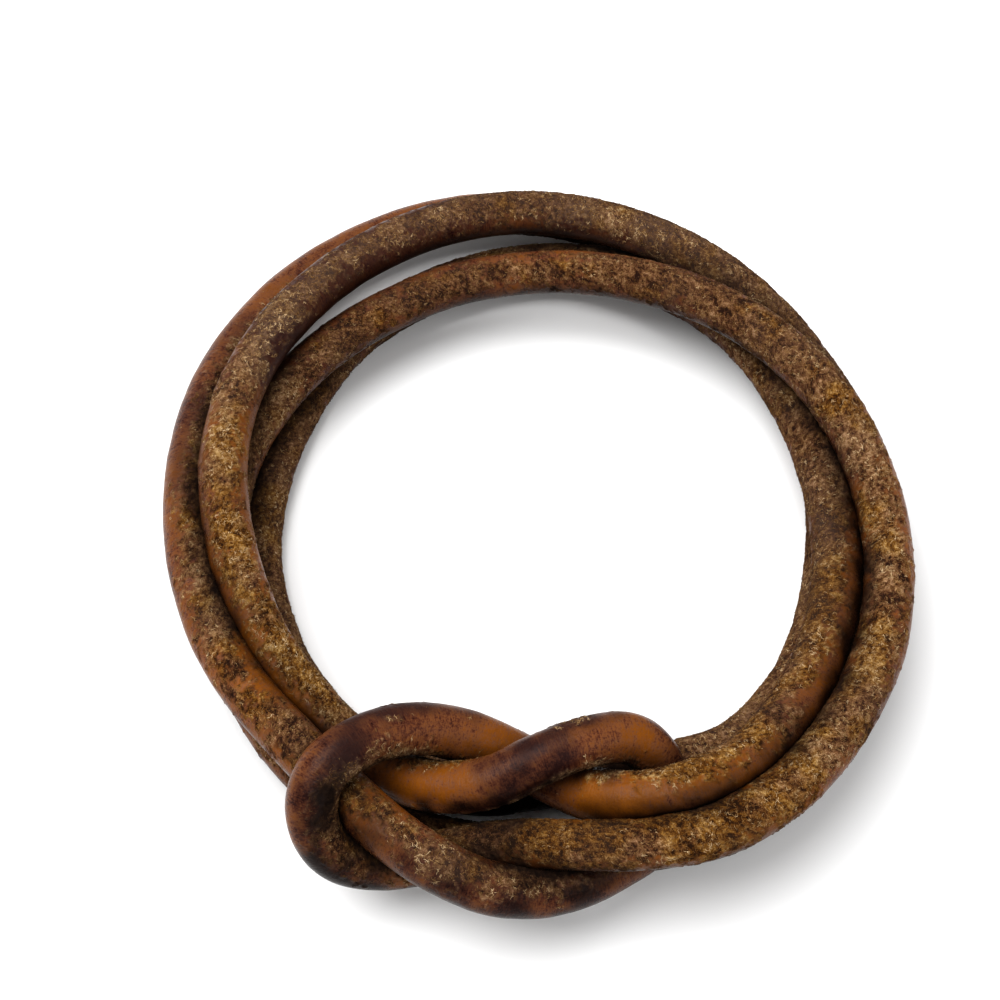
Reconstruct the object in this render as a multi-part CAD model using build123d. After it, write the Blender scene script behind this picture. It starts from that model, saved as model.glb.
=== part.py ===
from build123d import *
import math
import os

# A round leather thong, doubled, wound twice round and tied to itself with a reef knot.
# Millimetres. +Z is up, the coil lies flat on the plane z = 0 and the knot is at the front, towards -Y.

CORD_DIAMETER = 4.8
FLAT = CORD_DIAMETER / 2  # the height of the cord's middle where it lies on the table
RING_CENTRE = (0.8, -0.2)  # the middle of the coil, measured from the middle of the whole part
FIRST_ANGLE = -50  # degrees, where each turn leaves the knot on the right
ANGLE_STEP = 20
FILLET_SHARE = 0.45  # how much of the shorter run beside a corner the corner's arc takes

# Each turn runs from the knot's right side round the back to its left side. Its stations are one
# ANGLE_STEP apart, and each gives the distance from the coil's middle and the height.
TOP_TURN = [
    (40.5, 12.5), (38.5, 11.5), (36.5, 11), (34.5, 11), (33, 11), (31.5, 10.5), (31, 9.5),
    (31, 8.5), (31, 8), (31, 8), (32.5, 7.5), (34, 6.5), (35, 5.5), (36, 4),
]
MIDDLE_TURN = [
    (39, 3), (38.5, 3.5), (37, 5), (36, 6), (36, 7), (37, 8), (38.5, 8),
    (39, 9), (38, 10), (36.5, 11), (35.5, 12), (34.5, 12), (33, 11.5), (32.5, 9),
]
OUTER_TURN = [
    (31.5, FLAT), (31.5, FLAT), (31, FLAT), (32, FLAT), (34.5, FLAT), (37.5, FLAT), (40.5, 2.5),
    (43, 3), (43, 4), (42, 5), (40.5, 6.5), (38.5, 9), (38, 9.5), (37.5, 10),
]
INNER_TURN = [
    (35, 11), (33, 10), (31.5, 8.5), (30.5, 7.5), (31, 6), (33, 5), (35, 4),
    (35.5, 3), (34.5, FLAT), (33.5, FLAT), (31.5, FLAT), (31, FLAT), (31, FLAT), (31, FLAT),
]

# The knot's points are measured from the coil's middle too.
# The bight that comes in from the right: over, under, round the left end, under and over.
RIGHT_BIGHT = [
    (16.5, -31.5, 12.5), (10, -33.5, 12.5), (5, -32.5, 10.5), (1, -30, 8.5), (-3.5, -27.5, 9),
    (-8, -26, 10.5), (-13, -26, 13), (-17.5, -28, 15), (-21.5, -31, 16), (-23, -35, 14),
    (-21.5, -38, 10), (-17, -38.5, 7.5), (-11.5, -37.5, 6.5), (-6.5, -36.5, 8.5),
    (-0.5, -37, 11), (4.5, -38, 13), (10.5, -38.5, 13.5), (17.5, -37, 13),
]
# The bight that comes in from the left: under the other's end, over it, and round under its legs.
LEFT_BIGHT = [
    (-21.5, -24, 7.5), (-16.5, -28.5, 7.5), (-11, -31.5, 10), (-5.5, -32, 12.5), (-1, -30, 14),
    (4, -28, 14), (8.5, -26.5, 12), (12, -28, 9.5), (13, -31.5, 7.5), (11.5, -35.5, 7.5),
    (8, -38, 7.5), (3.5, -40.5, 8), (-1.5, -42, 9), (-6, -41.5, 11), (-11, -39, 12),
    (-15.5, -35.5, 12), (-19.5, -31.5, 10.5), (-24.5, -27, 10),
]
# Two runs that lie on the table under the knot.
UNDER_KNOT_OUTER = [
    (-25.5, -26.5, 3), (-18.5, -31.5, FLAT), (-12, -34, FLAT), (-4.5, -35, FLAT),
    (3, -35.5, FLAT), (10.5, -35.5, FLAT), (18, -34, FLAT),
]
UNDER_KNOT_LEFT = [(-7, -29.5, FLAT), (-14.5, -27.5, FLAT), (-21, -23, FLAT)]
UNDER_KNOT_RIGHT = [(13.5, -26, FLAT), (6.5, -27, FLAT), (0, -29, FLAT)]


def turn(stations):
    """The points of one turn, from the knot's right side to its left side."""
    points = []
    for i, (radius, height) in enumerate(stations):
        angle = math.radians(FIRST_ANGLE + i * ANGLE_STEP)
        points.append((radius * math.cos(angle), radius * math.sin(angle), height))
    return points


def route():
    """The cord's stretches in order along it, by name. The last one ends where the first begins."""
    top, middle, outer, inner = map(turn, (TOP_TURN, MIDDLE_TURN, OUTER_TURN, INNER_TURN))
    return {
        "inner_turn_left": UNDER_KNOT_LEFT + inner[:7:-1],
        "inner_turn_right": inner[7::-1],
        "right_bight": RIGHT_BIGHT,
        "top_turn_right": top[:8],
        "top_turn_left": top[8:],
        "under_knot_run": UNDER_KNOT_OUTER,
        "middle_turn_right": middle[:8],
        "middle_turn_left": middle[8:],
        "left_bight": LEFT_BIGHT,
        "outer_turn_left": outer[:7:-1],
        "outer_turn_right": outer[7::-1] + UNDER_KNOT_RIGHT,
    }


def placed(points):
    """The points, moved so that the part's box is centred on the origin."""
    return [Vector(x + RING_CENTRE[0], y + RING_CENTRE[1], z) for x, y, z in points]


def corner_radius(before, corner, after):
    """The radius of the arc that rounds one corner of the route."""
    shorter = min((corner - before).length, (after - corner).length)
    turn_angle = math.radians((corner - before).get_angle(after - corner))
    return FILLET_SHARE * shorter / math.tan(turn_angle / 2)


def tube(corners, first, count):
    """The cord round some of the closed route's corners, from mid-run to mid-run."""
    before, after = corners[first - 1], corners[(first + count) % len(corners)]
    own = corners[first : first + count]
    whole = [before] + own + [after]
    radii = [corner_radius(*whole[i : i + 3]) for i in range(count)]
    ends = (before + own[0]) / 2, (own[-1] + after) / 2
    line = FilletPolyline(ends[0], *own, ends[1], radius=radii)
    section = Plane(origin=line @ 0, z_dir=line % 0) * Circle(CORD_DIAMETER / 2)
    return sweep(section, path=line), line.length, radii


def main():
    os.makedirs("parts", exist_ok=True)
    stretches = {name: placed(points) for name, points in route().items()}
    corners = [corner for points in stretches.values() for corner in points]
    area = math.pi * CORD_DIAMETER**2 / 4
    first = 0
    whole_length = 0
    for name, points in stretches.items():
        solid, length, radii = tube(corners, first, len(points))
        first += len(points)
        whole_length += length
        print(name, f"length {length:.1f}, volume / (section x length) {solid.volume / (area * length):.3f}")
        print("  radii", " ".join(f"{radius:.1f}" for radius in radii))
        export_step(solid, f"parts/{name}.step")
    print(f"cord length {whole_length:.1f} mm, corners {len(corners)}")


main()
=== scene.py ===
import math

import bpy
import numpy as np
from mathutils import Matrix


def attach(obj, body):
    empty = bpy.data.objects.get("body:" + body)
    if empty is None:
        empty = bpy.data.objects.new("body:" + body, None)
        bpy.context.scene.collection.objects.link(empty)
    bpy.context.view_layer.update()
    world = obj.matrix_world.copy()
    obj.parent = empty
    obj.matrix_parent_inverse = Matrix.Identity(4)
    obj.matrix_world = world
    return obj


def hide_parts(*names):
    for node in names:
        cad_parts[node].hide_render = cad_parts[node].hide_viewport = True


# A round leather thong, doubled, wound twice round and tied to itself with a reef knot.
# Metres throughout. The thong has a smooth grain side and a rough, fibrous flesh side.

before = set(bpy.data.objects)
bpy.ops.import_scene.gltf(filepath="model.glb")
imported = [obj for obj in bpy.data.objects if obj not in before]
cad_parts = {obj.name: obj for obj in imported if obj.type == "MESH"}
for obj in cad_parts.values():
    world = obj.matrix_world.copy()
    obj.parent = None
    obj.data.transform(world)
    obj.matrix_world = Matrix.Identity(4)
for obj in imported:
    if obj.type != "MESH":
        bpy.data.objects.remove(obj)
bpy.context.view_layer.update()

CORD_DIAMETER = 0.0048
CORD_RADIUS = CORD_DIAMETER / 2
CORD_GIRTH = 2 * math.pi * CORD_RADIUS
FLAT = CORD_RADIUS  # the height of the cord's middle where it lies on the table
RING_CENTRE = (0.0008, -0.0002)  # the middle of the coil
FIRST_ANGLE = -50  # degrees, where each turn leaves the knot on the right
ANGLE_STEP = 20

# Each turn runs from the knot's right side round the back to its left side. Its stations are one
# ANGLE_STEP apart, and each gives the distance from the coil's middle and the height.

TOP_TURN = [
    (0.0401, 0.0125), (0.0385, 0.0115), (0.0365, 0.011), (0.0345, 0.011), (0.033, 0.011),
    (0.0315, 0.0105), (0.0307, 0.0095), (0.0305, 0.0085), (0.0307, 0.008), (0.031, 0.008),
    (0.0325, 0.0075), (0.034, 0.0065), (0.035, 0.0055), (0.036, 0.004),
]
MIDDLE_TURN = [
    (0.0384, 0.003), (0.0381, 0.0035), (0.037, 0.005), (0.0359, 0.006), (0.0355, 0.007),
    (0.0364, 0.008), (0.038, 0.008), (0.0386, 0.009), (0.0379, 0.01), (0.0365, 0.011),
    (0.0355, 0.012), (0.0345, 0.012), (0.033, 0.0115), (0.0325, 0.009),
]
OUTER_TURN = [
    (0.0315, FLAT), (0.0315, FLAT), (0.031, FLAT), (0.032, FLAT), (0.0345, FLAT), (0.0375, FLAT),
    (0.0405, 0.0025), (0.043, 0.003), (0.043, 0.004), (0.042, 0.005), (0.0405, 0.0065),
    (0.0384, 0.009), (0.0375, 0.0095), (0.0371, 0.01),
]
INNER_TURN = [
    (0.035, 0.011), (0.033, 0.01), (0.0315, 0.0085), (0.0306, 0.0075), (0.0316, 0.006),
    (0.0336, 0.005), (0.0352, 0.004), (0.0355, 0.003), (0.0345, FLAT), (0.0335, FLAT),
    (0.0315, FLAT), (0.031, FLAT), (0.031, FLAT), (0.031, FLAT),
]
# The knot's points, measured from the coil's middle.
RIGHT_BIGHT = [
    (0.0165, -0.0315, 0.0125), (0.01, -0.0335, 0.0125), (0.005, -0.0325, 0.0105),
    (0.001, -0.03, 0.0085), (-0.0035, -0.0275, 0.009), (-0.008, -0.026, 0.0105),
    (-0.013, -0.0261, 0.013), (-0.0175, -0.0281, 0.015), (-0.0212, -0.0311, 0.016),
    (-0.0228, -0.0349, 0.014), (-0.0212, -0.0379, 0.01), (-0.017, -0.0384, 0.0075),
    (-0.0115, -0.0374, 0.0065), (-0.0065, -0.0367, 0.0085), (-0.0005, -0.0374, 0.011),
    (0.0045, -0.0382, 0.013), (0.0105, -0.0382, 0.0135), (0.0174, -0.0366, 0.013),
]
LEFT_BIGHT = [
    (-0.0215, -0.024, 0.0075), (-0.0165, -0.0285, 0.0075), (-0.011, -0.0315, 0.01),
    (-0.0055, -0.032, 0.0125), (-0.001, -0.03, 0.014), (0.004, -0.028, 0.014),
    (0.0083, -0.0266, 0.012), (0.0112, -0.0281, 0.0095), (0.0119, -0.0317, 0.0075),
    (0.0109, -0.0355, 0.0075), (0.0077, -0.0377, 0.0075), (0.0035, -0.0402, 0.008),
    (-0.0015, -0.0417, 0.009), (-0.0064, -0.0416, 0.011), (-0.0114, -0.0394, 0.012),
    (-0.0161, -0.0358, 0.012), (-0.02, -0.0316, 0.0105), (-0.0245, -0.027, 0.01),
]
UNDER_KNOT_OUTER = [
    (-0.0255, -0.0265, 0.003), (-0.0185, -0.0315, FLAT), (-0.012, -0.034, FLAT),
    (-0.0045, -0.035, FLAT), (0.003, -0.0353, FLAT), (0.0105, -0.0349, FLAT),
    (0.018, -0.0334, FLAT),
]
UNDER_KNOT_LEFT = [
    (-0.007, -0.0294, FLAT), (-0.0145, -0.0268, FLAT), (-0.021, -0.023, FLAT),
]
UNDER_KNOT_RIGHT = [
    (0.0135, -0.0262, FLAT), (0.007, -0.0274, FLAT), (0, -0.0282, FLAT),
]


def turn(stations):
    """The points of one turn, from the knot's right side to its left side."""
    points = []
    for i, (radius, height) in enumerate(stations):
        angle = math.radians(FIRST_ANGLE + i * ANGLE_STEP)
        points.append((radius * math.cos(angle), radius * math.sin(angle), height))
    return points


def route():
    """The cord's stretches in order along it, by name. The last one ends where the first begins."""
    top, middle, outer, inner = map(turn, (TOP_TURN, MIDDLE_TURN, OUTER_TURN, INNER_TURN))
    return {
        "inner_turn_left": UNDER_KNOT_LEFT + inner[:7:-1],
        "inner_turn_right": inner[7::-1],
        "right_bight": RIGHT_BIGHT,
        "top_turn_right": top[:8],
        "top_turn_left": top[8:],
        "under_knot_run": UNDER_KNOT_OUTER,
        "middle_turn_right": middle[:8],
        "middle_turn_left": middle[8:],
        "left_bight": LEFT_BIGHT,
        "outer_turn_left": outer[:7:-1],
        "outer_turn_right": outer[7::-1] + UNDER_KNOT_RIGHT,
    }


# ---- the camera

def make_camera():
    """A 72 mm lens on the knot's side, 62 degrees above the table."""
    elevation = math.radians(62)
    distance = 0.215
    aim = (-0.0037, 0.0028, 0.005)
    data = bpy.data.cameras.new("camera")
    data.lens = 72
    data.sensor_width = 36
    data.clip_start = 0.01
    camera = bpy.data.objects.new("camera", data)
    back = distance * math.cos(elevation)
    camera.location = (aim[0], aim[1] - back, aim[2] + distance * math.sin(elevation))
    camera.rotation_euler = (math.pi / 2 - elevation, 0, 0)
    bpy.context.scene.collection.objects.link(camera)
    bpy.context.scene.camera = camera


# ---- the cord's line

def cord_line(corners):
    """Points along one smooth open spline whose control points are the route's corners."""
    data = bpy.data.curves.new("route", "CURVE")
    data.dimensions = "3D"
    spline = data.splines.new("NURBS")
    spline.points.add(len(corners) - 1)
    for point, corner in zip(spline.points, corners):
        point.co = (*corner, 1)
    spline.order_u = 3
    spline.use_endpoint_u = True
    spline.resolution_u = 16
    curve = bpy.data.objects.new("route", data)
    bpy.context.scene.collection.objects.link(curve)
    mesh = bpy.data.meshes.new_from_object(curve)
    line = np.array([vertex.co[:] for vertex in mesh.vertices])
    bpy.data.meshes.remove(mesh)
    bpy.data.objects.remove(curve)
    return line


def along(points):
    """The distance along a line at each of its points."""
    steps = np.linalg.norm(np.diff(points, axis=0), axis=1)
    return np.concatenate([[0], np.cumsum(steps)])


class Thong:
    """The whole cord: its line, evenly stepped, and where its other passes lie close."""

    STEP = 0.00016  # from one point of the line to the next
    SMOOTHING = 6  # rounds
    SHORTEST_STRETCH = 50  # points
    ANOTHER_PASS = 0.011  # how far along the cord a point counts as another pass
    PRESSING = 0.0075  # how near another pass has to come to matter
    COARSE = 6  # points from one test for another pass to the next
    WINDOW = 30  # points either side of the nearest one
    NOWHERE = 1.0  # a distance that is never the nearest

    def __init__(self):
        stretches = route()
        corners = np.array([corner for points in stretches.values() for corner in points])
        corners[:, :2] += RING_CENTRE
        seam = (corners[0] + corners[-1]) / 2
        line = cord_line(np.vstack([seam, corners, seam]))
        distance = along(line)
        count = int(round(distance[-1] / self.STEP))
        self.s = np.linspace(0, distance[-1], count + 1)
        self.length = distance[-1]
        self.points = np.stack([np.interp(self.s, distance, line[:, k]) for k in range(3)], 1)
        smooth(self.points, self.SMOOTHING)
        self.names = list(stretches)
        self.cuts = self.find_cuts(stretches, corners)
        self.make_frames()
        self.find_neighbours()

    def find_cuts(self, stretches, corners):
        """The index along the line where each stretch begins, and the last one's end."""
        cuts = [0]
        last = 0
        for points in list(stretches.values())[:-1]:
            last += len(points)
            middle = (corners[last - 1] + corners[last]) / 2
            gap = np.linalg.norm(self.points - middle, axis=1)
            gap[: cuts[-1] + self.SHORTEST_STRETCH] = self.NOWHERE
            cuts.append(int(gap.argmin()))
        return cuts + [len(self.s) - 1]

    def make_frames(self):
        """A tangent and two directions across the cord at each point, turning as little as possible."""
        tangent = np.gradient(self.points, axis=0)
        self.tangent = tangent / np.linalg.norm(tangent, axis=1)[:, None]
        across = np.empty_like(self.tangent)
        side = np.array([0.0, 0.0, 1.0])
        for i, t in enumerate(self.tangent):
            side = side - t * side.dot(t)
            side = side / np.linalg.norm(side)
            across[i] = side
        self.across = across
        self.other = np.cross(self.tangent, across)

    def find_neighbours(self):
        """Where other passes of the cord lie close: their directions and distances, coarsely."""
        rough = self.points[:: self.COARSE]
        s = self.s[:: self.COARSE]
        gap = np.linalg.norm(rough[:, None] - rough[None], axis=2)
        apart = np.abs(s[:, None] - s[None])
        apart = np.minimum(apart, self.length - apart)
        gap[apart < self.ANOTHER_PASS] = self.NOWHERE
        before, after = np.roll(gap, 1, axis=1), np.roll(gap, -1, axis=1)
        nearest = (gap <= before) & (gap <= after) & (gap < self.PRESSING)
        most = nearest.sum(1).max()
        self.neighbour_gap = np.full((len(self.s), most), self.NOWHERE)
        self.neighbour_way = np.zeros((len(self.s), most, 3))
        for i in range(len(rough)):
            rows = slice(i * self.COARSE, (i + 1) * self.COARSE)
            here = self.points[rows]
            for k, j in enumerate(np.flatnonzero(nearest[i])):
                middle = j * self.COARSE
                there = self.points[max(0, middle - self.WINDOW) : middle + self.WINDOW + 1]
                between = np.linalg.norm(here[:, None] - there[None], axis=2)
                self.neighbour_gap[rows, k] = between.min(1)
                way = there[between.argmin(1)] - here
                self.neighbour_way[rows, k] = way / np.linalg.norm(way, axis=1)[:, None]


def smooth(points, rounds):
    """Round off a line's small changes of direction, in place, keeping its ends."""
    for _ in range(rounds):
        points[1:-1] = (points[:-2] + 2 * points[1:-1] + points[2:]) / 4


# ---- noise on the cord's skin

def noise(u, v, cell, seed):
    """Smooth noise from 0 to 1. u runs along the cord in metres, v round it from 0 to 1."""
    rng = np.random.default_rng(seed)
    rows = max(2, int(round(CORD_GIRTH / cell)))
    x = u / cell
    y = (v % 1) * rows
    x0 = np.floor(x).astype(int)
    y0 = np.floor(y).astype(int)
    fx = x - x0
    fy = y - y0
    fx = fx * fx * (3 - 2 * fx)
    fy = fy * fy * (3 - 2 * fy)
    grid = rng.random((x0.max() + 3, rows))
    a = grid[x0, y0 % rows] * (1 - fy) + grid[x0, (y0 + 1) % rows] * fy
    b = grid[x0 + 1, y0 % rows] * (1 - fy) + grid[x0 + 1, (y0 + 1) % rows] * fy
    return a * (1 - fx) + b * fx


def fractal(u, v, cell, seed, octaves=3):
    """Layers of noise, each half the size and half the strength of the last."""
    total = 0
    weight = 0
    for k in range(octaves):
        share = 0.5**k
        total = total + share * noise(u, v, cell * share, seed + k)
        weight += share
    return total / weight


def step_between(x, low, high):
    """A smooth step from 0 at low to 1 at high."""
    t = np.clip((x - low) / (high - low), 0, 1)
    return t * t * (3 - 2 * t)


def halved(values):
    """Values from -1 to 1 as shares from 0 to 1, for a colour attribute."""
    return values * 0.5 + 0.5


# ---- how the thong lies and looks

# The rows of the next four tables give how far along their stretch the row's values hold, from 0
# to 1, and then the values. Between rows the values change evenly.

# The way the middle of the flesh side faces: degrees from straight up towards the outside of the
# coil, or a direction. Then half the flesh side's width in degrees.
FLESH_SIDE = {
    "inner_turn_left": [(0.0, -20, 75), (0.5, -30, 75), (1.0, -20, 80)],
    "inner_turn_right": [(0.45, -15, 85), (0.65, -26, 66), (0.82, -48, 54), (1.0, -46, 64)],
    "right_bight": [
        (0.06, -48, 62), (0.15, -80, 50), (0.24, 190, 50), (0.36, 138, 62),
        (0.43, (0.1, -0.7, -0.4), 64), (0.49, (0.8, -0.5, 0.2), 66), (0.55, (0.8, 0.1, 0.8), 74),
        (0.6, (0.6, 0.4, 0.8), 80), (0.67, (0, 0.6, 0.8), 78), (0.76, 0, 76), (1.0, -4, 80),
    ],
    "top_turn_right": [
        (0.08, -6, 74), (0.3, -20, 58), (0.55, -14, 74), (0.78, -16, 64), (0.95, -26, 46),
    ],
    "top_turn_left": [(0.35, -30, 42), (0.6, -34, 54), (1.0, -20, 66)],
    "under_knot_run": [(0.5, 0, 70)],
    "middle_turn_right": [(0.4, -10, 84), (0.75, -4, 72), (1.0, -8, 52)],
    "middle_turn_left": [(0.25, -6, 42), (0.55, -2, 44), (0.8, -6, 44), (1.0, -22, 58)],
    "left_bight": [
        (0.1, -44, 55), (0.2, -66, 48), (0.27, 190, 52), (0.34, 128, 58),
        (0.41, (0.3, -0.6, -0.7), 60), (0.48, (-0.3, -0.35, -0.8), 66), (0.53, (-1, 0.1, 0), 66),
        (0.58, (-0.3, 0.2, 0.9), 62), (0.66, (-0.3, 0.2, 0.9), 64), (0.76, -2, 52), (0.9, -2, 44),
        (1.0, 0, 50),
    ],
    "outer_turn_left": [(0.2, -34, 56), (0.5, -52, 50), (0.75, -78, 46), (1.0, -95, 45)],
    "outer_turn_right": [(0.5, -50, 60), (0.8, -30, 75), (1.0, -20, 75)],
}

# The thong's radius with its nap, which varies a little along it.
THICKNESS = {
    "inner_turn_left": [(0.0, 0.00245), (1.0, 0.00245)],
    "inner_turn_right": [(0.4, 0.00245), (0.8, 0.0027)],
    "right_bight": [
        (0.1, 0.00272), (0.3, 0.0026), (0.55, 0.00252), (0.8, 0.00238), (0.95, 0.00255),
    ],
    "top_turn_right": [(0.3, 0.00255), (1.0, 0.0024)],
    "top_turn_left": [(1.0, 0.0024)],
    "middle_turn_right": [(0.2, 0.0024), (1.0, 0.00245)],
    "middle_turn_left": [(0.6, 0.00255)],
    "left_bight": [(0.2, 0.00255), (0.35, 0.0025), (0.6, 0.0025), (0.85, 0.00262)],
    "outer_turn_left": [(0.3, 0.00245)],
    "outer_turn_right": [(1.0, 0.00245)],
}

# Tint of the grain side, from dark red (-1) to golden (1), and how dark its patina is.
TINT = {
    "inner_turn_left": [(0.0, -0.2, 0.45)],
    "inner_turn_right": [(0.5, 0.1, 0.3), (0.8, 0.35, 0.05), (1.0, 0.3, 0.0)],
    "right_bight": [
        (0.1, 0.3, 0.0), (0.36, -0.3, 0.1), (0.5, -0.35, 0.15), (0.66, 0.5, 0.05), (0.9, 0.5, 0.05),
    ],
    "top_turn_right": [(0.25, 0.1, 0.1), (1.0, 0.0, 0.2)],
    "top_turn_left": [(0.6, -0.1, 0.15)],
    "middle_turn_right": [(0.5, -0.2, 0.3), (1.0, -0.1, 0.6)],
    "middle_turn_left": [(0.1, -0.35, 0.9), (0.42, -0.35, 0.85), (0.6, 0.2, 0.0), (1.0, 0.6, 0.0)],
    "left_bight": [(0.2, 0.2, 0.1), (0.5, -0.3, 0.2), (0.65, 0.2, 0.1), (0.9, 0.1, 0.1)],
    "outer_turn_left": [(0.1, 0.1, 0.1), (0.5, -0.15, 0.1), (0.75, 0.15, 0.0)],
    "outer_turn_right": [(1.0, -0.3, 0.5)],
}

# How pale the flesh side is. 0 is a middling tan, and less is darker.
NAP = {
    "inner_turn_left": [(0.0, -0.2), (0.6, -0.15)],
    "inner_turn_right": [(0.3, -0.1), (0.7, -0.25), (1.0, -0.05)],
    "right_bight": [(0.5, -0.2), (0.7, -0.5), (0.82, -0.3)],
    "top_turn_right": [(0.05, -0.05), (0.3, -0.1), (0.6, -0.15), (0.85, -0.6)],
    "top_turn_left": [(0.15, -0.6), (0.6, 0.1)],
    "middle_turn_right": [(0.5, 0.0), (1.0, -0.3)],
    "middle_turn_left": [(0.3, -0.3), (0.6, 0.15), (1.0, 0.1)],
    "left_bight": [(0.5, -0.3), (0.75, 0.0), (0.84, -0.4), (1.0, -0.3)],
    "outer_turn_left": [(0.5, -0.1)],
    "outer_turn_right": [(1.0, -0.3)],
}

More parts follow.
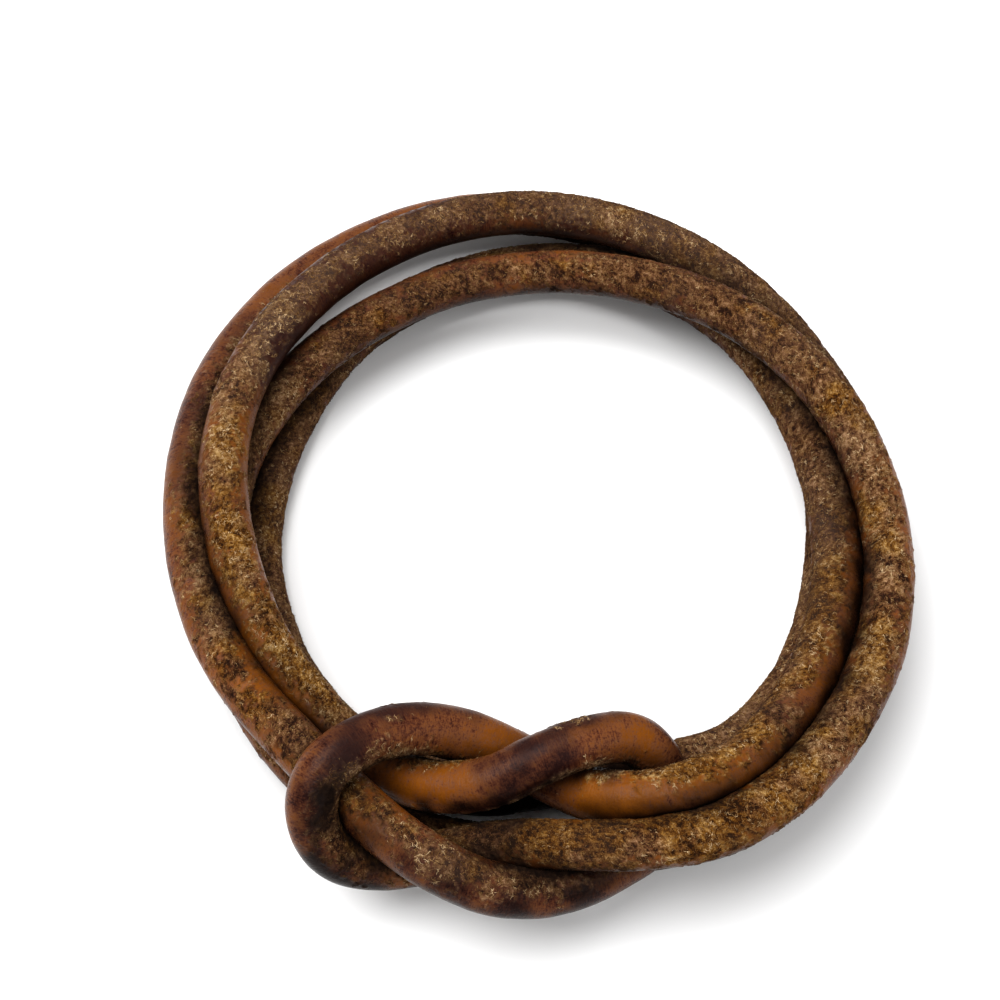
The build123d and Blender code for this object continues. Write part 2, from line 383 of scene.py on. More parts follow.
# Local wear and stains, and painted shade: the place, how far it reaches in millimetres, then what it
# adds there to the patina, the golden tint, the flesh side's spread, its paleness, and the darkening,
# which is painted shade in the crevices, folds and gaps.
MARKS = [
    # The right bight's upper leg: charcoal on top, red below, orange where it dives.
    (-0.0178, -0.0262, 0.0168, 2.2, 0.8, 0, 0.2, 0, 0),
    (-0.0142, -0.0252, 0.0158, 2.3, 1.2, 0, 1.4, 0.3, 0),
    (-0.0105, -0.0244, 0.0145, 2.1, 1.2, 0, 1.3, 0.2, 0),
    (-0.0065, -0.0244, 0.0126, 1.8, 0.8, 0, 0.4, 0, 0),
    (-0.0135, -0.0292, 0.014, 1.3, 0, 0, 0.8, 0.5, -0.3),
    (-0.0105, -0.0289, 0.0122, 1.3, 0, 0, 1.0, 0.5, -0.3),
    (-0.0076, -0.0288, 0.012, 1.3, 0, 0, 1.0, 0.5, -0.3),
    (-0.005, -0.0286, 0.0114, 1.3, 0, 0, 0.9, 0.5, -0.3),
    (-0.0175, -0.03, 0.018, 2.4, 0.8, -0.3, 0, 0, 0.1),
    (-0.0185, -0.0325, 0.017, 2.0, 0.8, -0.4, 0, 0, 0.4),
    (-0.01, -0.0275, 0.0146, 3.0, -0.4, -0.1, 0, 0, 0),
    (-0.0038, -0.0281, 0.0121, 2.6, -0.6, 0.7, 0, 0, 0),
    (-0.0085, -0.029, 0.0135, 1.6, -0.5, 0.5, 0, 0, 0),
    # Its fold: red-brown outside, black painted shade where it turns under, gold inside.
    (-0.0212, -0.0325, 0.0182, 2.2, -0.3, 0.2, 0, 0, 0.1),
    (-0.0228, -0.0345, 0.0172, 2.4, 0.0, -0.2, 0, 0, 0.12),
    (-0.02, -0.035, 0.0168, 1.7, 0, -0.6, 0, 0, 1),
    (-0.0204, -0.0372, 0.0152, 1.7, 0, -0.6, 0, 0, 1),
    (-0.0176, -0.0322, 0.0158, 1.2, 0, 0, 1.0, 0.5, -0.8),
    (-0.0184, -0.0345, 0.0142, 1.2, 0, 0, 0.8, 0.4, -0.8),
    (-0.0212, -0.0398, 0.0118, 2.0, 0.2, -0.6, 0, 0, 0.9),
    (-0.0195, -0.0412, 0.0098, 2.2, 0.2, -0.6, 0, 0, 0.9),
    (-0.0165, -0.0414, 0.008, 2.0, 0.2, -0.6, 0, 0, 0.8),
    # The left bight's upper leg: orange, then charcoal, then red, then orange.
    (-0.0125, -0.0322, 0.0115, 2.6, -0.6, 0.7, -0.6, 0, -0.05),
    (-0.009, -0.033, 0.013, 2.4, -0.6, 0.4, -0.5, 0, 0.05),
    (-0.0055, -0.0308, 0.0148, 1.8, 0.5, -0.5, 0, 0, 0),
    (-0.0018, -0.0292, 0.0162, 1.9, 0.8, -0.4, 0.5, 0.1, 0),
    (-0.0015, -0.0322, 0.0158, 2.2, 0.1, -0.8, 0, 0, 0.2),
    (0.0022, -0.0311, 0.016, 1.8, 0.1, -0.7, 0, 0, 0.1),
    (0.0015, -0.0277, 0.016, 1.8, 1.2, -0.2, 1.4, 0.3, 0),
    (0.0045, -0.0263, 0.0154, 1.8, 1.2, -0.2, 1.4, 0.3, 0),
    (0.0078, -0.0255, 0.0144, 1.5, 0.8, 0, 0.8, 0.2, 0),
    (0.0055, -0.0292, 0.0162, 2.2, -0.5, -0.1, 0, 0, 0),
    (0.0098, -0.0278, 0.014, 2.2, -0.6, 0.7, 0, 0, 0),
    # Painted shade along its lower edge, then a line of fibres kept clear of that shade.
    (-0.007, -0.0348, 0.012, 1.9, 0.2, -0.7, 0.2, 0, 0.75),
    (-0.011, -0.0342, 0.0105, 1.6, 0, -0.5, 0, 0, 0.7),
    (-0.003, -0.0341, 0.013, 1.9, 0.3, -0.8, 0.3, 0, 0.7),
    (0.001, -0.0331, 0.014, 1.8, 0.3, -0.8, 0.3, 0, 0.6),
    (-0.0122, -0.0335, 0.0097, 0.9, 0.2, 0, 2.3, 0.6, -1.3),
    (-0.0096, -0.0343, 0.0106, 0.9, 0.2, 0, 2.4, 0.6, -1.3),
    (-0.007, -0.0345, 0.0111, 0.9, 0.2, 0, 2.3, 0.6, -1.3),
    (-0.0046, -0.0344, 0.0118, 0.9, 0.2, 0, 2.4, 0.6, -1.3),
    (-0.0023, -0.034, 0.0127, 0.9, 0.2, 0, 2.4, 0.6, -1.3),
    (0.0, -0.0334, 0.0133, 0.9, 0.2, 0, 2.3, 0.6, -1.3),
    (0.0019, -0.0328, 0.0134, 1.0, 0.2, 0, 1.8, 0.6, -1.2),
    (0.005, -0.0316, 0.0136, 1.1, 0.2, 0, 1.6, 0.6, -1.0),
    # Its lower leg: smooth red edges either side of a pale fuzzy band, the edges darkened with painted
    # shade.
    (-0.018, -0.0345, 0.0132, 2.2, 0, 0.3, -0.45, -0.2, 0.45),
    (-0.015, -0.0375, 0.013, 2.0, 0, 0.1, -0.5, -0.2, 0.6),
    (-0.0122, -0.0402, 0.0135, 1.8, 0.1, -0.6, -0.5, 0, 0.3),
    (-0.0082, -0.0426, 0.0131, 2.4, 0.2, -0.9, -0.4, 0, 0.5),
    (-0.002, -0.044, 0.0115, 2.6, 0.2, -0.9, -0.4, 0, 0.5),
    (0.0047, -0.043, 0.01, 2.6, 0.2, -0.8, -0.3, 0, 0.6),
    (-0.0066, -0.0386, 0.0132, 1.5, 0, 0.3, -0.2, -0.3, 0),
    (-0.0039, -0.0397, 0.0124, 1.6, 0, 0.1, -0.1, -0.3, 0.1),
    (0.001, -0.0405, 0.0115, 2.0, 0, -0.2, -0.2, -0.4, 0.3),
    # The right bight where it comes out of the knot, above, and below with some painted shade.
    (0.0045, -0.0335, 0.0125, 2.6, -0.4, 1.0, -0.6, 0, 0),
    (0.009, -0.0345, 0.014, 2.6, -0.4, 0.7, -0.6, 0, 0),
    (0.0165, -0.0325, 0.015, 3.0, -0.5, 0.5, -0.2, 0, 0),
    (0.0215, -0.0315, 0.014, 3.0, -0.5, 0.4, 0, 0, 0),
    (0.016, -0.035, 0.0128, 2.0, 0.2, -0.5, -0.2, 0, 0.2),
    (0.01, -0.0365, 0.012, 2.0, 0.1, -0.5, 0, 0, 0.3),
    (0.0055, -0.0374, 0.0135, 2.4, 0, 0.4, 0, -0.35, 0.15),
    (-0.0036, -0.0372, 0.0122, 2.4, 0.1, -0.5, -0.2, -0.6, 0.3),
    (0.0002, -0.037, 0.014, 2.2, 0, -0.4, -0.2, -0.5, 0.2),
    # The hidden run under the knot, painted black as shade in the knot's gap.
    (-0.011, -0.0295, 0.004, 3.2, 0, 0, 0, -0.5, 1),
    (-0.006, -0.0298, 0.0045, 3.2, 0, 0, 0, -0.5, 1),
    (-0.001, -0.0296, 0.0045, 3.2, 0, 0, 0, -0.5, 1),
    (0.004, -0.0295, 0.0045, 3.2, 0, 0, 0, -0.5, 1),
    (0.0085, -0.0286, 0.0045, 3.2, 0, 0, 0, -0.5, 1),
    # The coil's right side: painted shade where the two upper turns touch.
    (0.0337, -0.008, 0.0122, 1.8, 0.2, 0, 0, -0.2, 0.4),
    (0.0329, -0.0123, 0.0117, 1.8, 0.2, 0, 0, -0.2, 0.4),
    (0.0317, -0.017, 0.0123, 1.8, 0.2, 0, 0, -0.2, 0.4),
    (0.03, -0.0217, 0.0133, 1.8, 0.2, 0, 0, -0.2, 0.4),
    (0.028, -0.0258, 0.0141, 1.7, 0.2, 0, 0, -0.2, 0.4),
    (0.025, -0.0295, 0.0146, 1.6, 0.2, 0, 0, -0.2, 0.4),
    # The coil: greyer places, and an orange stretch by the knot on the left.
    (0.0287, -0.0011, 0.0085, 3.0, 0.5, 0, 0, -0.1, 0),
    (0.0278, -0.011, 0.0105, 3.0, 0.6, 0, 0, -0.2, 0),
    (0.0257, -0.018, 0.0115, 3.0, 0.6, 0, 0, -0.2, 0),
    (0.0222, -0.0236, 0.0125, 3.0, 0.5, 0, 0, -0.2, 0),
    (-0.0247, -0.0238, 0.0098, 2.0, -0.4, 0.9, -1.0, 0, 0),
    (-0.027, -0.0212, 0.012, 2.2, -0.4, 0.9, -1.0, 0, 0),
    (-0.0295, -0.0175, 0.0128, 2.2, -0.4, 0.7, -0.8, 0, 0),
    # Fibres where the right bight comes out of the knot, and more grey places on the coil.
    (0.0062, -0.0312, 0.0135, 1.2, 0.2, -0.4, 1.0, 0.5, 0.1),
    (0.0025, -0.0322, 0.014, 1.2, 0.2, -0.4, 0.8, 0.5, 0.2),
    (0.0055, 0.0362, 0.011, 1.6, 0.6, 0, 0, 0.4, 0),
    (0.014, 0.034, 0.011, 2.4, 0.7, 0, 0, 0.1, 0),
    (0.029, -0.006, 0.01, 3.0, 0.6, 0, 0, 0, 0),
    (-0.027, 0.019, 0.014, 2.5, 0.5, 0, 0, 0.2, 0),
]


class Thread:
    """Values that change smoothly along the whole cord, from the tables above."""

    TURNING = 181  # points over which the flesh side's turns are smoothed, an odd number

    def __init__(self, thong):
        self.thong = thong
        self.flesh = self.flesh_side()
        self.radius = self.values(THICKNESS)[0]
        self.tint = self.values(TINT)
        self.light = self.values(NAP)[0]

    def index(self, stretch, share):
        """The point of the cord at a share of a stretch."""
        k = self.thong.names.index(stretch)
        first, last = self.thong.cuts[k], self.thong.cuts[k + 1]
        return first + share * (last - first)

    def rows(self, table):
        """A table's rows, each with its place along the whole cord instead of along the stretch."""
        return [
            (self.index(stretch, share), *values)
            for stretch, rows in table.items()
            for share, *values in rows
        ]

    def values(self, table):
        """One value at every point of the cord for each column after the first."""
        places, *columns = zip(*self.rows(table))
        here = np.arange(len(self.thong.s))
        return [np.interp(here, places, column) for column in columns]

    def flesh_side(self):
        """The flesh side's middle as an angle in the cord's own frame, and its half width."""
        places, ways, widths = zip(*self.rows(FLESH_SIDE))
        here = np.arange(len(self.thong.s))
        angles = [self.angle(int(min(place, here[-1])), way) for place, way in zip(places, ways)]
        middle = np.interp(here, places, np.unwrap(angles))
        kernel = np.hanning(self.TURNING)
        padded = np.pad(middle, self.TURNING // 2, mode="edge")
        middle = np.convolve(padded, kernel / kernel.sum(), "valid")
        return middle, np.radians(np.interp(here, places, widths))

    def angle(self, i, way):
        """A direction's angle round the cord at point i."""
        if not isinstance(way, tuple):
            point = self.thong.points[i]
            out = np.array([point[0] - RING_CENTRE[0], point[1] - RING_CENTRE[1], 0])
            out = out / np.linalg.norm(out)
            lean = math.radians(way)
            way = math.cos(lean) * np.array([0, 0, 1.0]) + math.sin(lean) * out
        way = np.array(way, float)
        return math.atan2(way.dot(self.thong.other[i]), way.dot(self.thong.across[i]))


class Skin:
    """The skin of one stretch, as a grid of rings by points round, with an extra ring either end."""

    AROUND = 96
    MARKED = 1.05 * CORD_RADIUS  # how far from the cord's middle the marks are measured
    RAGGED = math.radians(34)  # how far round the border between grain and flesh is blurred
    DENTS = 0.00016  # from the lowest to the highest of each kind of relief
    SMALL_DENTS = 0.00008
    NAP_HEIGHT = 0.00013
    WRINKLES = 0.000030
    LIP = 0.00007  # along the border between grain and flesh
    WARP = 0.0005  # how far the nap's pattern is pushed about
    PATTERN_GIRTH = 0.015  # how far round that push counts
    FACING = 0.3  # the least cosine at which the skin is pressed by another pass
    SQUEEZE = 0.00001  # what each of two pressed strands leaves free
    TABLE = 0.00002  # the lowest the skin comes
    CREVICE = 0.0040  # how far from another pass the painted shade reaches

    def __init__(self, thong, thread, first, last):
        self.thong = thong
        self.first = max(first - 1, 0)
        self.rows = np.arange(self.first, min(last + 1, len(thong.s) - 1) + 1)
        share = np.arange(self.AROUND) / self.AROUND
        self.s = np.repeat(thong.s[self.rows][:, None], self.AROUND, 1)
        self.round = np.repeat(share[None], len(self.rows), 0)
        middle, width = (values[self.rows][:, None] for values in thread.flesh)
        turned = 2 * math.pi * self.round - middle
        away = np.abs((turned + math.pi) % (2 * math.pi) - math.pi)
        self.make_ways()
        self.make_marks()
        self.make_fuzz(away, width)
        self.make_radius(thread.radius[self.rows][:, None])
        self.place()
        self.make_normals()
        self.make_colours(thread)

    def make_ways(self):
        """The direction out of the cord's middle at each point."""
        angle = 2 * math.pi * self.round
        across, other = self.thong.across[self.rows][:, None], self.thong.other[self.rows][:, None]
        self.way = np.cos(angle)[..., None] * across + np.sin(angle)[..., None] * other

    def make_marks(self):
        """What the local marks add at each point, before the skin has its relief."""
        points = self.thong.points[self.rows][:, None] + self.MARKED * self.way
        blur = 0.75 + 0.5 * fractal(self.s, self.round, cell=0.0014, seed=161)
        self.marks = np.zeros((5, *self.s.shape))
        for x, y, z, reach, *amounts in MARKS:
            far = np.linalg.norm(points - np.array([x, y, z]), axis=2) * blur / (0.001 * reach)
            share = np.exp(-(far**2))
            for total, amount in zip(self.marks, amounts):
                total += amount * share

    def make_fuzz(self, away, width):
        """How much of each point is flesh: 0 on the grain side, 1 on the flesh side."""
        ragged = fractal(self.s, self.round, cell=0.0040, seed=11) - 0.5
        torn = fractal(self.s, self.round, cell=0.0008, seed=21) - 0.5
        speck = noise(self.s, self.round, cell=0.00026, seed=31) - 0.5
        edge = (width - away) / self.RAGGED + 1.6 * ragged + 2.4 * torn + 1.4 * speck
        edge = edge + 1.5 * self.marks[2]
        self.fuzz = step_between(edge, -0.6, 0.7)
        self.edge = np.exp(-((edge - 0.1) ** 2) / 0.12)

    def make_radius(self, radius):
        """The distance from the cord's middle, with dents, nap and wrinkles."""
        s, v = self.s, self.round
        dents = self.DENTS * (fractal(s, v, cell=0.007, seed=41, octaves=2) - 0.5)
        dents = dents + self.SMALL_DENTS * (noise(s, v, cell=0.002, seed=51) - 0.5)
        warp = self.WARP * (noise(s, v, cell=0.0005, seed=61) - 0.5)
        clump = fractal(s + warp, v, cell=0.0009, seed=71, octaves=2)
        pushed = v + warp / self.PATTERN_GIRTH
        strand = fractal(s + warp, pushed, cell=0.00042, seed=81, octaves=2)
        strand = 1 - np.abs(2 * strand - 1)
        fine = noise(s - warp, v, cell=0.00024, seed=91)
        self.relief = np.clip(0.5 + 1.9 * (0.36 * clump + 0.34 * strand + 0.40 * fine - 0.62), 0, 1)
        nap = self.NAP_HEIGHT * (self.relief - 0.5)
        wrinkle = self.WRINKLES * (fractal(s, v, cell=0.0006, seed=101) - 0.5)
        lip = self.LIP * self.edge
        self.radius = radius + dents + self.fuzz * nap + (1 - self.fuzz) * wrinkle + lip

    def place(self):
        """The points in space, pressed flat where another pass of the cord or the table is close."""
        thong, rows, way = self.thong, self.rows, self.way
        # Painted shade: what faces down or to the front is darkened, and so are the crevices between
        # passes.
        self.painted_shade = 0.85 * step_between(-0.8 * way[..., 2] - 0.6 * way[..., 1], 0.0, 0.85)
        for k in range(thong.neighbour_gap.shape[1]):
            gap = thong.neighbour_gap[rows, k][:, None]
            towards = np.einsum("rac,rc->ra", way, thong.neighbour_way[rows, k])
            room = (gap / 2 - self.SQUEEZE) / np.maximum(towards, self.FACING)
            limit = np.where(towards > self.FACING, room, thong.NOWHERE)
            self.radius = np.minimum(self.radius, limit)
            across = np.sqrt(gap**2 + self.radius**2 - 2 * gap * self.radius * towards)
            crevice = np.clip(1 - (across - CORD_RADIUS) / self.CREVICE, 0, 1) ** 1.4
            self.painted_shade = np.maximum(self.painted_shade, crevice)
        self.points = thong.points[rows][:, None] + self.radius[..., None] * way
        self.points[..., 2] = np.maximum(self.points[..., 2], self.TABLE)

    def make_normals(self):
        """The direction out of the relief at each point."""
        along_cord = np.gradient(self.points, axis=0)
        around_cord = np.roll(self.points, -1, 1) - np.roll(self.points, 1, 1)
        normal = np.cross(around_cord, along_cord)
        normal /= np.maximum(np.linalg.norm(normal, axis=2), 1e-12)[..., None]
        flip = np.sign((normal * self.way).sum(2))[..., None]
        self.normal = normal * np.where(flip == 0, 1, flip)

    def make_colours(self, thread):
        """What the material reads at each point: tint, patina, painted shade and paleness."""
        s, v, rows = self.s, self.round, self.rows
        warm, dark = thread.tint
        patina, golden, _, pale, painted_dark = self.marks
        hues = fractal(s, v, cell=0.006, seed=111, octaves=4) - 0.5
        self.warm = warm[rows][:, None] + golden + 1.2 * hues
        stains = fractal(s, v, cell=0.006, seed=121, octaves=4) - 0.5
        self.patina = np.clip(patina + dark[rows][:, None] + 1.1 * stains, 0, 1)
        # The painted shade of undersides and crevices and the marks' painted shade, made uneven.
        uneven = fractal(s, v, cell=0.0016, seed=131) - 0.5
        painted_dark = self.painted_shade + painted_dark
        self.shade = np.clip(painted_dark + 1.2 * uneven * np.minimum(painted_dark, 0.6), 0, 1)
        patches = fractal(s, v, cell=0.0035, seed=141) - 0.5
        self.light = thread.light[rows][:, None] + pale + 1.5 * patches


class Piece:
    """One mesh: the skin of a stretch and the loose fibres of its flesh side."""

    FIBRES_PER_MM2 = 34
    TUFTS_PER_MM2 = 3.4
    TUFT = 5  # fibres in a tuft
    TUFT_SPREAD = 0.00007
    STATIONS = 4  # points along a fibre
    LOOSE = 0.06  # the share of fibres that stand up at one end
    LIFT = 0.000018  # fibres stand off the skin by about twice this
    WIDTHS = (0.000018, 0.000034)  # half a ribbon's width at its start, thinnest and widest
    LOWEST_MIDDLE = 0.00003  # how low a fibre's middle may come, and its edges
    LOWEST_EDGE = 0.00001
    SKIN_GIRTH = 0.0151  # how far round the skin's second texture coordinate counts
    SEED = 1000  # each stretch's seed is this plus the number of its first point

    def __init__(self, name, thong, thread, first, last):
        self.name = name
        self.thong = thong
        self.skin = Skin(thong, thread, first, last)
        self.low = first - self.skin.first
        self.high = last - self.skin.first
        self.vertices, self.normals, self.faces, self.look, self.wear, self.uv = [], [], [], [], [], []
        self.count = 0
        self.add_skin()
        self.add_fibres()
        self.build()

    def add(self, points, normals, quads, look, wear, uv):
        """Adds points and faces to the mesh, with what the material reads at each point."""
        self.vertices.append(points.reshape(-1, 3))
        self.normals.append(normals.reshape(-1, 3))
        self.faces.append(quads.reshape(-1, 4) + self.count)
        self.look.append(look.reshape(-1, 4))
        self.wear.append(wear.reshape(-1, 4))
        self.uv.append(uv.reshape(-1, 2))
        self.count += points.reshape(-1, 3).shape[0]

    def add_skin(self):
        """The skin's rings, without the extra one at either end that the normals need."""
        skin = self.skin
        keep = slice(self.low, self.high + 1)
        rings = self.high - self.low + 1
        index = np.arange(rings * skin.AROUND).reshape(rings, skin.AROUND)
        a, b = index[:-1], index[1:]
        quads = np.stack([a, np.roll(a, -1, 1), np.roll(b, -1, 1), b], -1)
        look = np.stack([skin.fuzz, skin.relief, halved(skin.warm), skin.patina], -1)
        ones = np.ones_like(skin.fuzz)
        wear = np.stack([skin.shade, 0 * ones, halved(skin.light), ones], -1)
        uv = np.stack([skin.s, skin.round * self.SKIN_GIRTH], -1)
        self.add(skin.points[keep], skin.normal[keep], quads, look[keep], wear[keep], uv[keep])

    def cells(self, row, v):
        """The skin's grid cells that hold the given places."""
        return row.astype(int), (v * self.skin.AROUND).astype(int) % self.skin.AROUND

    def scatter(self, rng, per_mm2):
        """Places spread evenly over the stretch: the ring and the share of the way round."""
        skin = self.skin
        length = self.thong.s[skin.first + self.high] - self.thong.s[skin.first + self.low]
        area = 1e6 * length * 2 * math.pi * CORD_RADIUS
        tries = int(per_mm2 * area)
        return rng.uniform(self.low, self.high - 1, tries), rng.random(tries)

    def single_fibres(self, rng):
        """Fibres all over the flesh side: their rings, shares of the way round and tones."""
        skin = self.skin
        row, v = self.scatter(rng, self.FIBRES_PER_MM2)
        cell = self.cells(row, v)
        # Most grow high on the nap of the flesh side, a few on the grain, and none in deep painted
        # shade.
        chance = (skin.fuzz[cell] + 0.15 * skin.edge[cell]) * (0.15 + 1.1 * skin.relief[cell])
        keep = (rng.random(len(row)) < chance + 0.002) & (skin.shade[cell] < 0.8)
        row, v = row[keep], v[keep]
        return row, v, np.clip(rng.normal(0.40, 0.2, len(row)), 0, 1)

    def tuft_fibres(self, rng):
        """Pale fibres that stand in tufts, in the same form."""
        skin = self.skin
        row, v = self.scatter(rng, self.TUFTS_PER_MM2)
        cell = self.cells(row, v)
        # Pale places have more of them.
        light = np.clip(0.6 + 1.2 * skin.light[cell], 0.05, 1.5)
        chance = (skin.fuzz[cell] + 0.2 * skin.edge[cell] + 0.008) * light
        keep = (rng.random(len(row)) < chance) & (skin.shade[cell] < 0.6)
        row, v = np.repeat(row[keep], self.TUFT), np.repeat(v[keep], self.TUFT)
        reach = rng.normal(0, self.TUFT_SPREAD, (2, len(row)))
        row = np.clip(row + reach[0] / self.thong.STEP, self.low, self.high - 1)
        v = (v + reach[1] / CORD_GIRTH) % 1
        tone = np.clip(np.repeat(rng.normal(0.72, 0.15, keep.sum()), self.TUFT), 0, 1)
        return row, v, np.clip(tone + rng.normal(0, 0.06, len(tone)), 0, 1)

    def add_fibres(self):
        """Short curled ribbons all over the flesh side, many of them in pale tufts."""
        skin = self.skin
        rng = np.random.default_rng(self.SEED + skin.first + self.low)
        both = zip(self.single_fibres(rng), self.tuft_fibres(rng))
        row, v, tone = (np.concatenate(pair) for pair in both)
        n = len(row)
        # Most fibres are about 0.2 mm long, and none under 0.08 mm or over 0.7 mm.
        size = np.clip(rng.lognormal(-1.6, 0.45, n), 0.08, 0.7) * 0.001
        heading = rng.uniform(0, 2 * math.pi, n)
        curl = rng.normal(0, 1.4, n)
        t = np.linspace(0, 1, self.STATIONS)[None]
        bend = heading[:, None] + curl[:, None] * (t - 0.5)
        step = size[:, None] / (self.STATIONS - 1)
        start = np.zeros((n, 1))
        du = np.concatenate([start, np.cumsum(np.cos(bend[:, :-1]) * step, 1)], 1)
        dv = np.concatenate([start, np.cumsum(np.sin(bend[:, :-1]) * step, 1)], 1)
        rows = np.clip(row[:, None] + du / self.thong.STEP, 0, len(skin.rows) - 1.001)
        v = (v[:, None] + dv / CORD_GIRTH) % 1

        lift = rng.gamma(2.0, self.LIFT, n)
        loose = rng.random(n) < self.LOOSE
        rise = np.where(loose[:, None], t**1.5 * 2.0, 4 * t * (1 - t))
        height = 0.000004 + lift[:, None] * rise
        base, normal = self.sample(rows, v)
        centre = base + normal * height[..., None]
        centre[..., 2] = np.maximum(centre[..., 2], self.LOWEST_MIDDLE)
        side = np.cross(normal, np.gradient(centre, axis=1))
        side /= np.maximum(np.linalg.norm(side, axis=2), 1e-9)[..., None]
        half = (rng.uniform(*self.WIDTHS, n)[:, None] * (1 - 0.6 * t))[..., None]
        points = np.stack([centre + side * half, centre - side * half], 2)
        points[..., 2] = np.maximum(points[..., 2], self.LOWEST_EDGE)

        ribbon = np.arange(n * self.STATIONS * 2).reshape(n, self.STATIONS, 2)
        left, right = ribbon[..., 0], ribbon[..., 1]
        quads = np.stack([left[:, :-1], right[:, :-1], right[:, 1:], left[:, 1:]], -1)
        cell = self.cells(rows, v)
        tone = np.repeat(tone[:, None], self.STATIONS, 1)
        ones = np.ones_like(tone)
        look = np.stack([skin.fuzz[cell], tone, halved(skin.warm[cell]), skin.patina[cell]], -1)
        wear = np.stack([skin.shade[cell], ones, halved(skin.light[cell]), ones], -1)
        uv = np.stack([rows * self.thong.STEP, v * self.SKIN_GIRTH], -1)
        normal, look, wear, uv = (np.repeat(a[:, :, None], 2, 2) for a in (normal, look, wear, uv))
        self.add(points, normal, quads, look, wear, uv)

    def sample(self, rows, v):
        """The skin's point and normal between its grid points."""
        skin = self.skin
        r0 = rows.astype(int)
        fr = (rows - r0)[..., None]
        x = v * skin.AROUND
        c0 = np.floor(x).astype(int)
        fc = (x - c0)[..., None]
        c0, c1 = c0 % skin.AROUND, (c0 + 1) % skin.AROUND
        result = []
        for grid in (skin.points, skin.normal):
            a = grid[r0, c0] * (1 - fc) + grid[r0, c1] * fc
            b = grid[r0 + 1, c0] * (1 - fc) + grid[r0 + 1, c1] * fc
            result.append(a * (1 - fr) + b * fr)
        return result

    def build(self):
        """The Blender object, with the colours' attributes and the skin's own normals."""
        points = np.concatenate(self.vertices)
        quads = np.concatenate(self.faces)
        mesh = bpy.data.meshes.new(self.name + "_leather")
        mesh.vertices.add(len(points))
        mesh.vertices.foreach_set("co", points.ravel())
        mesh.loops.add(quads.size)
        mesh.loops.foreach_set("vertex_index", quads.ravel().astype(np.int32))
        mesh.polygons.add(len(quads))
        mesh.polygons.foreach_set("loop_start", np.arange(0, quads.size, 4, dtype=np.int32))
        mesh.polygons.foreach_set("use_smooth", np.ones(len(quads), bool))
        for label, values in (("look", self.look), ("wear", self.wear)):
            layer = mesh.attributes.new(label, "FLOAT_COLOR", "POINT")
            layer.data.foreach_set("color", np.concatenate(values).ravel())
        uv = mesh.uv_layers.new(name="skin")
        uv.data.foreach_set("uv", np.concatenate(self.uv)[quads.ravel()].ravel())
        mesh.update()
        mesh.normals_split_custom_set_from_vertices(np.concatenate(self.normals))
        self.object = bpy.data.objects.new(self.name + "_leather", mesh)
        bpy.context.scene.collection.objects.link(self.object)
        mesh.materials.append(bpy.data.materials["thong leather"])


# ---- materials

class Nodes:
    """A small helper that adds shader nodes and links them."""

    def __init__(self, name):
        self.material = bpy.data.materials.new(name)
        self.material.use_nodes = True
        self.tree = self.material.node_tree
        self.shader = self.tree.nodes["Principled BSDF"]

    def add(self, kind):
        return self.tree.nodes.new(kind)

    def put(self, node, key, value):
        """Sets a socket to a value, or links it to another node's output."""
        socket = node.inputs[key]
        if isinstance(value, bpy.types.NodeSocket):
            self.tree.links.new(value, socket)
        else:
            socket.default_value = value

    def math(self, operation, a, b, clamp=False):
        node = self.add("ShaderNodeMath")
        node.operation = operation
        node.use_clamp = clamp
        self.put(node, 0, a)
        self.put(node, 1, b)
        return node.outputs[0]

    def mix(self, factor, a, b):
        """A mix of two colours, which are the node's inputs 6 and 7 and its output 2."""
        node = self.add("ShaderNodeMix")
        node.data_type = "RGBA"
        self.put(node, 0, factor)
        self.put(node, 6, a)
        self.put(node, 7, b)
        return node.outputs[2]

    def swing(self, value, amount):
        """A value from 0 to 1 made to swing by the amount either side of nothing."""
        return self.math("MULTIPLY", self.math("SUBTRACT", value, 0.5), amount)

    def ramp(self, factor, stops):
        node = self.add("ShaderNodeValToRGB")
        self.put(node, 0, factor)
        elements = node.color_ramp.elements
        while len(elements) < len(stops):
            elements.new(0.5)
        for element, (position, colour) in zip(elements, stops):
            element.position = position
            element.color = (*colour, 1)
        return node.outputs[0]

    def noise(self, vector, scale, detail, roughness=0.55):
        node = self.add("ShaderNodeTexNoise")
        self.put(node, "Vector", vector)
        self.put(node, "Scale", scale)
        self.put(node, "Detail", detail)
        self.put(node, "Roughness", roughness)
        return node.outputs[0]

    def attribute(self, name):
        """The four numbers that a colour attribute of the mesh holds."""
        node = self.add("ShaderNodeAttribute")
        node.attribute_name = name
        split = self.add("ShaderNodeSeparateColor")
        self.put(split, 0, node.outputs["Color"])
        return split.outputs[0], split.outputs[1], split.outputs[2], node.outputs["Alpha"]


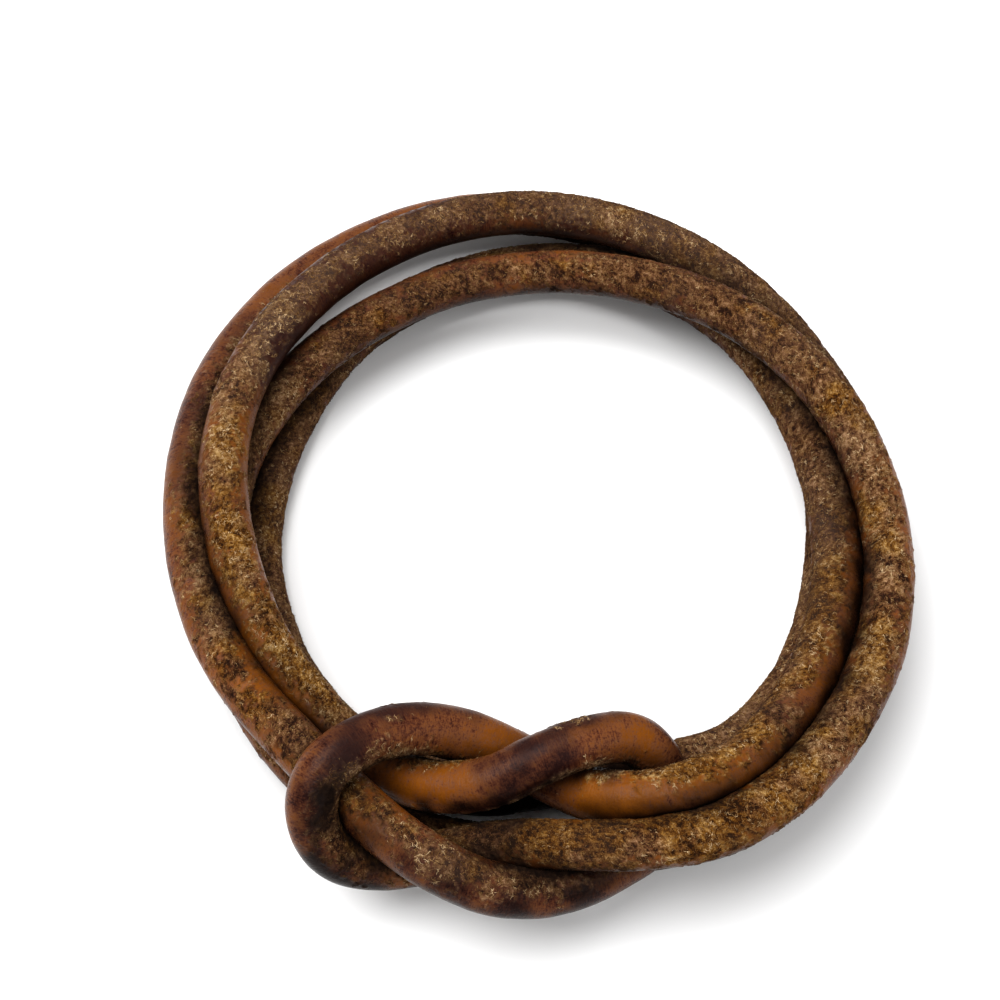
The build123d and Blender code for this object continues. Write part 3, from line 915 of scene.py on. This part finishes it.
class Leather(Nodes):
    """The thong's one material, which reads what the skin says at each point.

    look holds how fleshy the point is, its tone, how golden its grain is and its patina.
    wear holds its painted shade, whether it is a loose fibre, and how pale its nap is.
    """

    def __init__(self):
        super().__init__("thong leather")
        self.fuzz, self.tone, self.warm, self.patina = self.attribute("look")
        self.shade, self.fibre, self.light, _ = self.attribute("wear")
        place = self.add("ShaderNodeTexCoord").outputs["Object"]
        self.blotch = self.noise(place, 700, 4)
        self.patch = self.noise(place, 260, 3)
        self.fine = self.noise(place, 7500, 3, 0.65)
        self.pores = self.noise(place, 3400, 2, 0.5)
        self.cross_lines = self.noise(self.lengthways(), 800, 3, 0.6)
        self.stain = self.make_stain()
        self.make_colour()
        self.make_roughness()
        self.make_bump()

    def lengthways(self):
        """Places on the skin, stretched so that noise makes lines across the cord."""
        skin = self.add("ShaderNodeUVMap")
        skin.uv_map = "skin"
        mapping = self.add("ShaderNodeMapping")
        self.put(mapping, "Vector", skin.outputs[0])
        self.put(mapping, "Scale", (9.0, 1.2, 1.0))
        return mapping.outputs[0]

    def make_stain(self):
        """How dark the patina makes the grain side."""
        stain = self.math("ADD", self.patina, self.swing(self.blotch, 0.9))
        stain = self.math("ADD", stain, self.swing(self.fine, 1.1))
        stain = self.math("ADD", stain, self.swing(self.pores, 0.8))
        return self.math("MULTIPLY", stain, 0.82, clamp=True)

    def grain(self):
        """The smooth side, from dark red through brown to golden orange."""
        hue = self.math("ADD", self.warm, self.swing(self.blotch, 1.1))
        hue = self.math("ADD", hue, self.swing(self.cross_lines, 0.9))
        hue = self.math("ADD", hue, self.swing(self.fine, 0.9))
        hue = self.math("ADD", hue, self.swing(self.pores, 0.8))
        grain = self.ramp(hue, [
            (0.0, (0.020, 0.005, 0.004)), (0.3, (0.080, 0.025, 0.012)), (0.55, (0.158, 0.060, 0.022)),
            (0.8, (0.174, 0.056, 0.007)), (1.0, (0.206, 0.067, 0.004)),
        ])
        return self.mix(self.stain, grain, (0.024, 0.0090, 0.0076, 1))

    def nap(self):
        """The rough side: patches of gold and brown, duller where the patina is dark."""
        depth = self.math("ADD", self.swing(self.tone, 0.95), self.swing(self.fine, 1.6))
        depth = self.math("ADD", depth, self.swing(self.light, 0.55))
        depth = self.math("ADD", depth, 0.50)
        gold = self.ramp(depth, [
            (0.1, (0.018, 0.007, 0.002)), (0.35, (0.070, 0.026, 0.004)), (0.6, (0.145, 0.064, 0.011)),
            (0.85, (0.260, 0.140, 0.038)), (1.0, (0.400, 0.260, 0.110)),
        ])
        brown = self.ramp(depth, [
            (0.1, (0.018, 0.007, 0.004)), (0.4, (0.075, 0.032, 0.014)), (0.7, (0.160, 0.082, 0.038)),
            (1.0, (0.330, 0.200, 0.110)),
        ])
        golden = self.math("ADD", self.math("SUBTRACT", self.patch, 0.49), self.swing(self.warm, 0.7))
        nap = self.mix(self.math("MULTIPLY", golden, 6.0, clamp=True), brown, gold)
        dull = self.math("ADD", self.math("MULTIPLY", self.patina, 0.75), self.swing(self.fine, 0.6))
        return self.mix(self.math("MULTIPLY", dull, 0.9, clamp=True), nap, (0.066, 0.042, 0.031, 1))

    def hair(self):
        """The loose fibres, from brown to pale straw."""
        pale = self.math("ADD", self.tone, self.swing(self.light, 0.4))
        return self.ramp(pale, [
            (0.1, (0.045, 0.018, 0.005)), (0.4, (0.145, 0.073, 0.025)), (0.7, (0.270, 0.165, 0.074)),
            (1.0, (0.560, 0.410, 0.240)),
        ])

    def make_colour(self):
        rough_side = self.mix(self.fibre, self.nap(), self.hair())
        fleshy = self.math("MAXIMUM", self.fuzz, self.fibre)
        colour = self.mix(fleshy, self.grain(), rough_side)
        # Painted shade: the shade value darkens the colour towards near black.
        painted_shade = self.math("MULTIPLY", self.shade, 0.93)
        colour = self.mix(painted_shade, colour, (0.006, 0.003, 0.002, 1))
        self.put(self.shader, "Base Color", colour)

    def make_roughness(self):
        rough = self.math("ADD", 0.17, self.math("MULTIPLY", self.fuzz, 0.7))
        rough = self.math("ADD", rough, self.math("MULTIPLY", self.blotch, 0.2))
        rough = self.math("ADD", rough, self.math("MULTIPLY", self.stain, 0.15))
        self.put(self.shader, "Roughness", rough)
        self.put(self.shader, "Specular IOR Level", 0.08)

    def make_bump(self):
        relief = self.math("MULTIPLY", self.fine, self.math("ADD", 0.4, self.fuzz))
        relief = self.math("ADD", relief, self.math("MULTIPLY", self.cross_lines, 0.6))
        relief = self.math("ADD", relief, self.math("MULTIPLY", self.pores, 0.6))
        bump = self.add("ShaderNodeBump")
        self.put(bump, "Strength", 0.8)
        self.put(bump, "Distance", 0.00006)
        self.put(bump, "Height", relief)
        self.put(self.shader, "Normal", bump.outputs[0])


def plain(name, colour, roughness):
    """A material of one colour."""
    nodes = Nodes(name)
    nodes.put(nodes.shader, "Base Color", (*colour, 1))
    nodes.put(nodes.shader, "Roughness", roughness)
    return nodes.material


# ---- floor and light

def make_floor():
    half = 3.0
    mesh = bpy.data.meshes.new("floor")
    corners = [(-half, -half, 0), (half, -half, 0), (half, half, 0), (-half, half, 0)]
    mesh.from_pydata(corners, [], [(0, 1, 2, 3)])
    floor = bpy.data.objects.new("floor", mesh)
    bpy.context.scene.collection.objects.link(floor)
    mesh.materials.append(plain("pale floor", (0.86, 0.86, 0.86), 0.9))


def area_light(name, place, target, size, power):
    data = bpy.data.lights.new(name, "AREA")
    data.shape = "DISK"
    data.size = size
    data.energy = power
    light = bpy.data.objects.new(name, data)
    light.location = place
    way = np.array(target) - np.array(place)
    flat = math.hypot(way[0], way[1])
    light.rotation_euler = (math.atan2(flat, -way[2]), 0, math.atan2(way[1], way[0]) - math.pi / 2)
    bpy.context.scene.collection.objects.link(light)


def make_lights():
    world = bpy.data.worlds.new("studio")
    world.use_nodes = True
    background = world.node_tree.nodes["Background"]
    background.inputs["Color"].default_value = (1, 1, 1, 1)
    background.inputs["Strength"].default_value = 0.6
    bpy.context.scene.world = world
    area_light("key", (-0.22, 0.08, 0.6), (0, 0, 0), 0.6, 5.0)
    area_light("fill", (0.4, -0.3, 0.45), (0, 0, 0), 0.5, 0.8)


def set_view():
    view = bpy.context.scene.view_settings
    view.view_transform = "Standard"
    view.look = "Medium High Contrast"


def main():
    make_camera()
    set_view()
    thong = Thong()
    thread = Thread(thong)
    Leather()
    for k, name in enumerate(thong.names):
        first, last = thong.cuts[k], thong.cuts[k + 1]
        piece = Piece(name, thong, thread, first, last)
        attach(piece.object, "root")
        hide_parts(name)
    make_floor()
    make_lights()


main()
